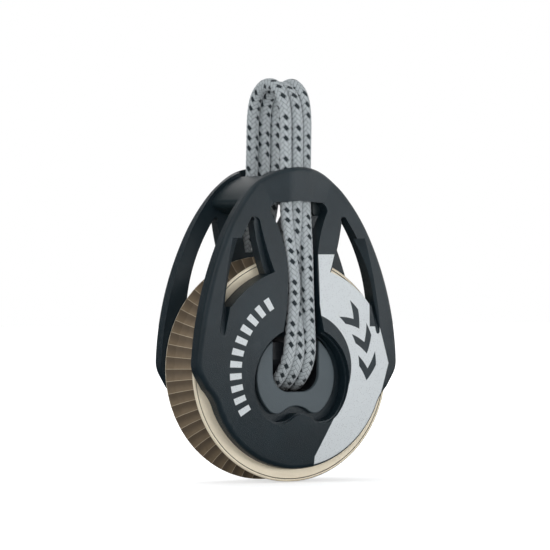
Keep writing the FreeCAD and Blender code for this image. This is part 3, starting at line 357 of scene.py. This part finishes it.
def tick_marks(tree, radius, angle):
    """Ticks along an arc, a steady angle apart."""
    part = sum_up(tree, "FRACT", sum_up(tree, "DIVIDE", angle, TICK_PITCH))
    ticks = fade(tree, distance_to(tree, part, 0.5), TICK_HALF_WIDTH + 0.01, TICK_HALF_WIDTH - 0.01)
    arc = all_of(tree, between(tree, radius, *TICK_RADII), between(tree, angle, *TICK_ANGLES, 0.2))
    return all_of(tree, ticks, arc)


# %% [markdown]
# Both cheeks share this material. The rear one needs no second material, because the front
# dome's depth is on one side of the block only, so the print's mask is empty there. Under the
# print the nylon is almost black, and its gloss is held low, as worn nylon's is.


# %% Material: cheeks with the direction mark
def cheek_material():
    material, tree, shader, place = start_material("cheek nylon", 0.38, specular=0.36)
    texture = grained(tree, place, 5.0)
    x, y, z = axes_of(tree, place)
    radius = radius_of(tree, x, z)
    angle = sum_up(tree, "MULTIPLY", sum_up(tree, "ARCTAN2", x, z), 180 / math.pi)

    chevrons = chevron_marks(tree, radius, angle)
    silver = all_of(tree, silver_field(tree, x, z, radius), opposite(tree, chevrons))
    paint = all_of(tree, either(tree, silver, tick_marks(tree, radius, angle)), on_dome(tree, x, y, z))

    wear = fade(tree, texture["Cloud"], 0.2, 0.8)
    nylon = blend_colours(tree, wear, shaded(NYLON, 0.85), shaded(NYLON, 1.2))
    speckled = blend_colours(tree, texture["Fleck"], SILVER, shaded(SILVER, 0.72))
    join(tree, blend_colours(tree, paint, nylon, speckled), shader.inputs["Base Color"])
    bump_from(tree, shader, texture["Height"], 0.1 * MM)
    return material


cheek_finish = cheek_material()
print("material", cheek_finish.name)

# %% [markdown]
# The sheave is hard-anodised aluminium. Its flanges are pale champagne and satin, with a fine
# dark line painted near the rim as the shade of a small step there. The groove is browner, as
# line rubs dirt into it. Each of its hollow facets carries painted shade, darkest beside one
# ridge and clearing towards the next, and each ridge carries a thin painted highlight. The
# facets could be painted through a UV map, but they are equal steps of the angle about the
# axis, so one division finds each facet and the place in it.

# %% Material: sheave
FACETS = 56
FLANGE = (0.84, 0.745, 0.575)
GROOVE = (0.25, 0.188, 0.121)
# The painted shade on the dark side of each groove facet.
GROOVE_SHADE = (0.14, 0.105, 0.070)
# A painted highlight: the pale colour of the thin bright line on each ridge.
RIDGE_HIGHLIGHT = (0.62, 0.52, 0.38)
GROOVE_EDGE_Y = 6.78
LINE_RADIUS = 27.75


def sheave_material():
    material, tree, shader, place = start_material("anodised sheave", 0.42, metallic=0.15)
    x, y, z = axes_of(tree, place)
    radius = radius_of(tree, x, z)
    noise = add(tree, "ShaderNodeTexNoise", Scale=900.0, Detail=4.0)
    join(tree, place, noise.inputs["Vector"])

    turns = sum_up(tree, "MULTIPLY", sum_up(tree, "ARCTAN2", z, x), FACETS / (2 * math.pi))
    part_turn = sum_up(tree, "FRACT", turns)
    grime = blend_colours(tree, noise.outputs["Fac"], shaded(GROOVE, 0.8), shaded(GROOVE, 1.15))
    # Painted shade in each facet: darkest beside one ridge, clearing towards the next.
    facet_shade_mask = fade(tree, opposite(tree, part_turn), 0.0, 0.8)
    facet = blend_colours(tree, facet_shade_mask, grime, GROOVE_SHADE)
    # Painted highlight: a thin bright line along each facet's ridge.
    ridge_highlight = fade(tree, distance_to(tree, part_turn, 0.5), 0.465, 0.495)
    facet = blend_colours(tree, ridge_highlight, facet, RIDGE_HIGHLIGHT)

    flange = blend_colours(tree, noise.outputs["Fac"], shaded(FLANGE, 0.95), shaded(FLANGE, 1.05))
    # Painted shade: a fine dark line near the rim stands for the shade of a small step there.
    rim_shade_line = fade(tree, distance_to(tree, radius, LINE_RADIUS), 0.14, 0.08)
    flange = blend_colours(tree, rim_shade_line, flange, shaded(FLANGE, 0.25))

    across = sum_up(tree, "ABSOLUTE", y)
    in_groove = fade(tree, across, GROOVE_EDGE_Y + 0.04, GROOVE_EDGE_Y - 0.04)
    join(tree, blend_colours(tree, in_groove, flange, facet), shader.inputs["Base Color"])
    rings = sum_up(tree, "SINE", sum_up(tree, "MULTIPLY", radius, 60.0))
    bump_from(tree, shader, sum_up(tree, "ADD", rings, noise.outputs["Fac"]), 0.003 * MM)
    return material


sheave_finish = sheave_material()
print("material", sheave_finish.name)

# %% [markdown]
# The hub's plate and the spacers are mouldings too, with their own colours. Steel parts are
# turned: fine rings about their axis break the highlight. Plain smooth metal would be quicker
# to make, but it shines evenly like a drop of mercury. The bronze washers and the resin balls
# are seldom seen, but they have their own finish as well.


# %% Materials: hub, spacers, steel and bearing parts
def turned_metal(name, colour, roughness, rings_per_mm=6.0):
    """Metal with fine turning marks about the Y axis."""
    material, tree, shader, place = start_material(name, roughness, metallic=1.0)
    x, _, z = axes_of(tree, place)
    noise = add(tree, "ShaderNodeTexNoise", Scale=700.0, Detail=3.0)
    join(tree, place, noise.inputs["Vector"])
    turns = sum_up(tree, "MULTIPLY", radius_of(tree, x, z), rings_per_mm * 2 * math.pi)
    tint = blend_colours(tree, noise.outputs["Fac"], shaded(colour, 0.85), colour)
    join(tree, tint, shader.inputs["Base Color"])
    height = sum_up(tree, "ADD", sum_up(tree, "SINE", turns), noise.outputs["Fac"])
    bump_from(tree, shader, height, 0.003 * MM)
    return material


hub_finish = moulded("hub composite", (0.070, 0.092, 0.105), 0.55, grain=3.5, cloud=0.18)
core_finish = moulded("hub core", (0.010, 0.012, 0.015), 0.5, grain=3.5)
spacer_finish = moulded("spacer nylon", (0.009, 0.018, 0.022), 0.42, grain=6.0, depth=0.02 * MM)
resin_finish = moulded("ball resin", (0.72, 0.69, 0.60), 0.22, grain=1.5, depth=0.004 * MM,
                       cloud=0.05)
steel_finish = turned_metal("stainless steel", (0.58, 0.58, 0.58), 0.3)
hard_finish = turned_metal("hardened steel", (0.32, 0.32, 0.34), 0.35)
bronze_finish = turned_metal("bearing bronze", (0.55, 0.36, 0.16), 0.35)
wire_finish = turned_metal("spring wire", (0.62, 0.62, 0.63), 0.2)

FINISHES = (
    (cheek_finish, ("front_cheek", "rear_cheek")),
    (spacer_finish, ("left_head_spacer", "right_head_spacer", "spring_seat")),
    (sheave_finish, ("sheave",)),
    (core_finish, ("hub_core",)),
    (hub_finish, ("front_hub_plate", "rear_hub_plate")),
    (steel_finish, ("head_screws", "hub_screws", "bearing_race", "trip_arms", "pawl_pins",
                    "pawl_pin_washer")),
    (hard_finish, ("ratchet_ring", "right_pawl", "left_pawl")),
    (bronze_finish, ("front_ball_washer", "ball_spacer_ring")),
    (resin_finish, ("front_ball_row", "rear_ball_row")),
    (wire_finish, ("pawl_springs", "load_springs")),
)
for finish, names in FINISHES:
    for name in names:
        slots = nodes[name].data.materials
        slots.clear()
        slots.append(finish)
print(sum(len(names) for _, names in FINISHES), "CAD nodes finished")

# %% [markdown]
# The lashing is one 3 mm braided cord. It goes three times through the hub and over the head,
# and its ends are tucked away inside the hub. Its line is a smooth NURBS curve with the points
# that steer the solid's line, some of them moved by a millimetre or so, and the braid is laid
# round it. A Bezier curve could follow the same way, but its handles would be twice the numbers
# to keep, and its bends less even.

# %% The lashing's line
ROUTE_MM = [
    (-4.8, 0.5, -4.2),
    (-3.4, 4.75, -4.2), (-3.1, 11.4, 2.4), (-2.5, 11.8, 11.0), (-1.8, 12.3, 21.0),
    (-2.6, 11.6, 31.0), (-2.9, 8.2, 40.5), (-3.1, 6.8, 53.0),
    (-3.0, 6.7, 67.3), (-3.0, 1.96, 72.1), (-3.0, -4.76, 72.1), (-2.95, -9.5, 67.3),
    (-3.1, -9.6, 53.5), (-3.05, -9.6, 41.0), (-3.1, -11.7, 31.0), (-1.85, -12.3, 21.0),
    (-2.5, -11.8, 11.0), (-3.1, -11.4, 2.4), (-3.3, -4.75, -4.2),
    (0.0, 4.75, -4.2), (0.1, 11.4, 2.4), (0.0, 10.8, 11.0), (0.05, 10.1, 21.0),
    (0.3, 10.0, 31.5), (0.35, 7.6, 41.0), (0.35, 6.7, 53.0),
    (0.4, 6.8, 66.8), (0.3, 1.9, 71.4), (0.4, -4.7, 71.2), (0.35, -9.5, 66.4),
    (0.3, -9.6, 53.5), (0.1, -9.7, 41.0), (-0.6, -9.95, 30.5), (0.0, -9.95, 20.5),
    (0.0, -10.4, 11.0), (-0.1, -11.4, 2.4), (0.0, -4.75, -4.2),
    (3.3, 4.75, -4.2), (4.7, 11.3, 2.4), (4.0, 11.6, 11.0), (2.3, 12.3, 21.0),
    (3.0, 11.5, 31.0), (3.6, 8.0, 40.5), (3.7, 6.5, 53.0),
    (3.7, 6.4, 67.3), (3.6, 1.8, 72.1), (3.5, -3.9, 72.1), (3.6, -8.4, 67.3),
    (3.5, -8.2, 53.5), (2.95, -8.8, 41.0), (1.9, -11.75, 30.5), (1.8, -12.3, 20.5),
    (2.5, -11.8, 11.0), (3.1, -11.4, 2.4), (3.4, -4.75, -4.2),
    (4.8, -0.5, -4.2),
]


def smooth_line(route):
    """Points along a NURBS curve that has the route's points as its control points."""
    curve = bpy.data.curves.new("lashing line", "CURVE")
    curve.dimensions = "3D"
    spline = curve.splines.new("NURBS")
    spline.points.add(len(route) - 1)
    for point, place in zip(spline.points, route):
        point.co = (*(v * MM for v in place), 1)
    spline.order_u = 3
    spline.use_endpoint_u = True
    spline.resolution_u = 40
    holder = bpy.data.objects.new("lashing line", curve)
    mesh = bpy.data.meshes.new_from_object(holder)
    line = [v.co.copy() for v in mesh.vertices]
    bpy.data.objects.remove(holder)
    bpy.data.meshes.remove(mesh)
    return line


def length_of(line):
    """The sum of the distances from each point to the next."""
    return sum((b - a).length for a, b in zip(line, line[1:]))


lashing_line = smooth_line(ROUTE_MM)
print("lashing line", round(length_of(lashing_line) / MM, 1), "mm in", len(lashing_line), "points")

# %% [markdown]
# The braid has eight yarns each way, and each yarn goes over two of the other hand and under
# two. What shows of it is a short slanted stitch, twice as long as wide. A point of the skin has
# two numbers, one for each hand: how many yarns lie between it and the start. Their whole parts
# say which two yarns cross there and which is on top, and their fractions say where in the
# stitch the point is, so the relief is a formula. Sixteen woven tubes would be truer, but they
# would cost several times the triangles, and most of each tube would lie hidden in the cord.

# %% Braid sizes and relief
CORD_RADIUS = 1.6 * MM
YARNS = 8
STITCH = 1.3 * MM
RELIEF = 0.10 * MM
ROUND_STEPS = 40
ALONG_STEP = 0.27 * MM


def stitch_height(left, right):
    """The braid's relief, 0 between stitches to 1 on top of one; both inputs count yarns."""
    left_yarn = math.floor(left)
    right_yarn = math.floor(right)
    if (left_yarn + right_yarn) % 4 < 2:
        across = left - left_yarn
        along = (right + left_yarn) % 4 / 2
    else:
        across = right - right_yarn
        along = (left + right_yarn - 2) % 4 / 2
    return math.sin(math.pi * across) ** 0.6 * (0.55 + 0.45 * abs(math.sin(math.pi * along)) ** 0.7)


def even_points(line, step):
    """The same line with its points a steady step apart, and that step."""
    count = int(length_of(line) / step)
    step = length_of(line) / count
    points = [line[0]]
    travelled = 0.0
    for a, b in zip(line, line[1:]):
        span = (b - a).length
        while len(points) <= count and len(points) * step <= travelled + span + 1e-9:
            points.append(a.lerp(b, (len(points) * step - travelled) / span))
        travelled += span
    return points, step


# %% [markdown]
# A curve's own bevel gives a smooth hose in one step, but a hose has no stitches. So the skin is
# built as rings of points, one ring at each step along the line. The next ring's start is
# carried over from the last one's, turned as little as the line's bend asks for, so the stitches
# never twist. Each point sinks by the relief's depth at its own count of yarns, and a UV map
# keeps that same pair of counts for the material.


# %% Weave the lashing
def new_piece(name, mesh):
    """Turn a finished bmesh into an object in the scene."""
    data = bpy.data.meshes.new(name)
    mesh.to_mesh(data)
    mesh.free()
    piece = bpy.data.objects.new(name, data)
    bpy.context.scene.collection.objects.link(piece)
    return piece


def braid(name, line):
    """A tube round the line with the braid's relief and a UV map that counts yarns each way."""
    points, step = even_points(line, ALONG_STEP)
    mesh = bmesh.new()
    uv = mesh.loops.layers.uv.new("braid")
    normal = Vector((1, 0, 0))
    rings = []
    for number, point in enumerate(points):
        before = points[max(number - 1, 0)]
        after = points[min(number + 1, len(points) - 1)]
        tangent = (after - before).normalized()
        normal = (normal - tangent * normal.dot(tangent)).normalized()
        side = tangent.cross(normal)
        along = number * step / STITCH
        ring = []
        for turn in range(ROUND_STEPS):
            around = turn / ROUND_STEPS
            angle = 2 * math.pi * around
            height = stitch_height(around * YARNS + along, around * YARNS - along)
            radius = CORD_RADIUS - RELIEF * (1 - height)
            out = normal * math.cos(angle) + side * math.sin(angle)
            ring.append(mesh.verts.new(point + out * radius))
        rings.append(ring)
    for number, (low, high) in enumerate(zip(rings, rings[1:])):
        for turn in range(ROUND_STEPS):
            following = (turn + 1) % ROUND_STEPS
            face = mesh.faces.new((low[turn], low[following], high[following], high[turn]))
            face.smooth = True
            corners = ((turn, number), (turn + 1, number),
                       (turn + 1, number + 1), (turn, number + 1))
            for loop, (u, v) in zip(face.loops, corners):
                turns = u / ROUND_STEPS * YARNS
                loop[uv].uv = (turns + v * step / STITCH, turns - v * step / STITCH)
    for ring in (list(reversed(rings[0])), rings[-1]):
        mesh.faces.new(ring)
    return new_piece(name, mesh)


lashing = braid("braided_lashing", lashing_line)
print(lashing.name, len(lashing.data.polygons), "faces")

# %% [markdown]
# The yarns are pale grey, and three of every eight that run one way are black, so dark flecks
# march up the cord in threes. A black yarn shows only where it lies on top. The hollows between
# stitches carry painted shade, a soft line parts each yarn into its two ends, and still finer
# lines along it are its filaments. Dots strewn over the cord would be simpler than counting
# yarns, but they would run across the stitches, and real flecks never do.

# %% Material: braid
PALE_LOW = (0.38, 0.415, 0.43)
PALE_HIGH = (0.60, 0.64, 0.655)
# The painted shade for the hollows between stitches.
PALE_HOLLOW_SHADE = (0.16, 0.18, 0.19)
BLACK_LOW = (0.012, 0.018, 0.022)
BLACK_HIGH = (0.028, 0.038, 0.044)


def yarn_places(tree):
    """Which yarns cross at a point, which is on top, and where in its stitch the point is."""
    uv = add(tree, "ShaderNodeUVMap", uv_map="braid")
    parts = add(tree, "ShaderNodeSeparateXYZ")
    join(tree, uv.outputs["UV"], parts.inputs[0])
    left, right = parts.outputs["X"], parts.outputs["Y"]
    left_yarn = sum_up(tree, "FLOOR", left)
    right_yarn = sum_up(tree, "FLOOR", right)
    crossing = sum_up(tree, "FLOORED_MODULO", sum_up(tree, "ADD", left_yarn, right_yarn), 4.0)
    left_on_top = sum_up(tree, "LESS_THAN", crossing, 1.5)

    def chosen(of_left, of_right):
        """The first value where the left-hand yarn is on top, else the second."""
        gap = sum_up(tree, "SUBTRACT", of_left, of_right)
        return sum_up(tree, "MULTIPLY_ADD", gap, left_on_top, of_right)

    across = chosen(sum_up(tree, "FRACT", left), sum_up(tree, "FRACT", right))
    from_left = sum_up(tree, "ADD", right, left_yarn)
    from_right = sum_up(tree, "ADD", left, sum_up(tree, "SUBTRACT", right_yarn, 2.0))
    run = chosen(sum_up(tree, "FLOORED_MODULO", from_left, 4.0),
                 sum_up(tree, "FLOORED_MODULO", from_right, 4.0))
    along = sum_up(tree, "MULTIPLY", run, 0.5)
    return left_yarn, right_yarn, left_on_top, across, along


def black_yarns(tree, left_yarn, left_on_top, over):
    """Yarns 0, 2 and 4 of the left-hand eight, where they lie on top."""
    number = sum_up(tree, "FLOORED_MODULO", left_yarn, 8.0)
    even = sum_up(tree, "LESS_THAN", sum_up(tree, "FLOORED_MODULO", number, 2.0), 0.5)
    first_three = sum_up(tree, "LESS_THAN", number, 5.5)
    return all_of(tree, left_on_top, even, first_three, fade(tree, over, 0.32, 0.42))


def braid_material():
    material, tree, shader, _ = start_material("pale braid", 0.75, specular=0.3)
    left_yarn, right_yarn, left_on_top, across, along = yarn_places(tree)
    beside = sum_up(tree, "SINE", sum_up(tree, "MULTIPLY", across, math.pi))
    over = sum_up(tree, "SINE", sum_up(tree, "MULTIPLY", along, math.pi))
    black = black_yarns(tree, left_yarn, left_on_top, over)

    strands = add(tree, "ShaderNodeCombineXYZ")
    own_number = sum_up(tree, "ADD", left_yarn, sum_up(tree, "MULTIPLY", right_yarn, 17.0))
    join(tree, sum_up(tree, "MULTIPLY", across, 6.0), strands.inputs["X"])
    join(tree, sum_up(tree, "MULTIPLY", along, 0.8), strands.inputs["Y"])
    join(tree, own_number, strands.inputs["Z"])
    filament = add(tree, "ShaderNodeTexNoise", Scale=1.0, Detail=3.0)
    join(tree, strands.outputs[0], filament.inputs["Vector"])

    # Painted shade: the hollows between stitches, and a soft line down each yarn, are mixed towards a
    # dark grey.
    parting = fade(tree, distance_to(tree, across, 0.5), -0.05, 0.12)
    shade = all_of(tree, fade(tree, beside, 0.0, 0.5), fade(tree, over, -0.2, 0.4),
                   sum_up(tree, "MULTIPLY_ADD", parting, 0.5, 0.5))
    pale = blend_colours(tree, filament.outputs["Fac"], PALE_LOW, PALE_HIGH)
    pale = blend_colours(tree, shade, PALE_HOLLOW_SHADE, pale)
    dark = blend_colours(tree, filament.outputs["Fac"], BLACK_LOW, BLACK_HIGH)
    join(tree, blend_colours(tree, black, pale, dark), shader.inputs["Base Color"])
    crown = sum_up(tree, "MULTIPLY_ADD", filament.outputs["Fac"], 0.25, shade)
    bump_from(tree, shader, crown, 0.04 * MM, strength=0.6)
    shader.inputs["Sheen Weight"].default_value = 0.15
    return material


lashing.data.materials.append(braid_material())
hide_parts("lashing")
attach(lashing, "hub")
print("lashing rides on the hub")

# %% [markdown]
# The block stands on a plain pale floor, which keeps its shadow near the foot and glows to
# white further out. The world is pale and fills the shadows. To the camera and to mirrored rays
# the backdrop is white, and that white adds no light of its own. Stronger lamps could whiten
# the floor too, but they would wash out the block on the way.

# %% Floor and world
FLOOR_HALF = 1.5
FLOOR_GREY = (0.9, 0.9, 0.9, 1)
SKY = (0.92, 0.96, 1.0, 1)
WHITE = (1, 1, 1, 1)
HAIR = 0.2 * MM


def seen_directly(tree):
    """1 for the camera and for mirrored or bent rays, 0 for the light that falls on things."""
    path = add(tree, "ShaderNodeLightPath")
    mirrored = either(tree, path.outputs["Is Glossy Ray"], path.outputs["Is Transmission Ray"])
    return either(tree, path.outputs["Is Camera Ray"], mirrored)


def square_sheet(name, half, place, turn=None):
    """A square sheet in the scene, level unless a matrix turns it; half its side in metres."""
    mesh = bmesh.new()
    bmesh.ops.create_grid(mesh, x_segments=1, y_segments=1, size=half)
    if turn is not None:
        bmesh.ops.transform(mesh, verts=mesh.verts, matrix=turn)
    bmesh.ops.translate(mesh, verts=mesh.verts, vec=place)
    return new_piece(name, mesh)


def make_floor():
    """The floor, a hair below the block's foot."""
    floor = square_sheet("floor", FLOOR_HALF, (0, 0.6, cad_low.z - HAIR))
    material, tree, shader, place = start_material("pale floor", 0.9, specular=0.1)
    shader.inputs["Base Color"].default_value = FLOOR_GREY
    shader.inputs["Emission Color"].default_value = WHITE
    length = add(tree, "ShaderNodeVectorMath", operation="LENGTH")
    join(tree, place, length.inputs[0])
    far = fade(tree, length.outputs["Value"], 0.03, 0.12)
    glow = sum_up(tree, "MULTIPLY_ADD", far, 0.4, 0.6)
    join(tree, all_of(tree, seen_directly(tree), glow), shader.inputs["Emission Strength"])
    floor.data.materials.append(material)


def make_world():
    """A pale sky for the light, plain white for what is seen directly."""
    world = bpy.data.worlds.new("studio")
    world.use_nodes = True
    tree = world.node_tree
    fill = tree.nodes["Background"]
    fill.inputs["Color"].default_value = SKY
    fill.inputs["Strength"].default_value = 0.35
    white = add(tree, "ShaderNodeBackground", Color=WHITE, Strength=1.0)
    mix = add(tree, "ShaderNodeMixShader")
    join(tree, seen_directly(tree), mix.inputs[0])
    join(tree, fill.outputs[0], mix.inputs[1])
    join(tree, white.outputs[0], mix.inputs[2])
    join(tree, mix.outputs[0], tree.nodes["World Output"].inputs[0])
    bpy.context.scene.world = world


make_floor()
make_world()
print("floor at", round(cad_low.z / MM, 1), "mm")

# %% [markdown]
# Black plastic shows its surroundings more than its own colour, so the light is planned by what
# each surface mirrors. A broad softbox low on the right is mirrored by what leans that way, and
# dark cards by the camera, on the left, above, on the right and below keep the walls and
# recesses black. The cards are seen by reflections alone, so they take no light from the
# lamps, and the low fill does the opposite: it lights what is pale and is mirrored in nothing.


# %% Lamps and cards
def facing_middle(place, forward):
    """The turn that points one axis of a thing at the block's middle."""
    return (MIDDLE - Vector(place)).to_track_quat(forward, "Y")


def lamp(name, place, size, power, mirrored=True):
    """An area lamp that faces the block's middle; place and size in metres, power in watts."""
    light = bpy.data.lights.new(name, "AREA")
    light.shape = "RECTANGLE"
    light.size, light.size_y = size
    light.energy = power
    holder = bpy.data.objects.new(name, light)
    holder.location = place
    holder.rotation_euler = facing_middle(place, "-Z").to_euler()
    holder.visible_glossy = mirrored
    bpy.context.scene.collection.objects.link(holder)


def reflected_card(name, place, size, glow, level=False):
    """A card that only reflections see: the camera and the lamps' light pass through it."""
    turn = None if level else facing_middle(place, "Z").to_matrix().to_4x4()
    card = square_sheet(name, size / 2, place, turn)
    material, _, shader, _ = start_material(name, 1.0, specular=0.0)
    shader.inputs["Base Color"].default_value = (0, 0, 0, 1)
    shader.inputs["Emission Color"].default_value = (0.85, 0.95, 1.0, 1)
    shader.inputs["Emission Strength"].default_value = glow
    card.data.materials.append(material)
    card.visible_camera = False
    card.visible_diffuse = False
    card.visible_shadow = False


lamp("right softbox", (0.75, -1.15, 0.06), (1.1, 0.40), 7.0)
lamp("left lamp", (-0.9, -0.1, 0.75), (0.4, 0.4), 2.0)
lamp("low fill", (-0.75, -0.95, 0.1), (0.5, 0.5), 5.5, mirrored=False)
lamp("top lamp", (0.0, 0.4, 1.0), (0.7, 0.7), 2.5)
reflected_card("card by the camera", (-0.70, -0.95, 0.25), 1.2, 0.0)
reflected_card("card on the left", (-0.9, 1.0, 0.4), 2.2, 0.10)
reflected_card("card above", (0.0, 0.3, 1.3), 1.4, 0.15)
reflected_card("card on the right", (0.75, -1.2, 1.05), 1.3, 0.15)
reflected_card("card below", (0.0, 0.3, cad_low.z + HAIR), 0.9, 0.03, level=True)
print("four lamps and five cards")

# %% [markdown]
# The camera is a long lens a metre away, a little left of the front cheek and just above the
# sheave's axis. A shorter lens from nearby would show the same side, but the front cheek would
# swell against the rear one; from a metre both stay nearly alike. It looks at a height between
# the sheave and the crown, and a small step aside sets the block in the middle of the picture.

# %% Camera
DISTANCE = 1.0
LENS_MM = 257.2
AIM_Z = 0.02373
ASIDE = Vector((-0.00031, 0.00018, 0))
turned = math.radians(-30.8)
raised = math.radians(1.55)
camera_data = bpy.data.cameras.new("camera")
camera_data.lens = LENS_MM
camera_data.clip_start = 0.01
camera = bpy.data.objects.new("camera", camera_data)
level_way = Vector((math.sin(turned), -math.cos(turned), 0))
back = level_way * math.cos(raised) + Vector((0, 0, math.sin(raised)))
camera.location = back * DISTANCE + ASIDE
aim = Vector((0, 0, AIM_Z)) + ASIDE - camera.location
camera.rotation_euler = aim.to_track_quat("-Z", "Y").to_euler()
bpy.context.scene.collection.objects.link(camera)
bpy.context.scene.camera = camera
bpy.context.scene.view_settings.view_transform = "Standard"
print("camera at", [round(v, 3) for v in camera.location])
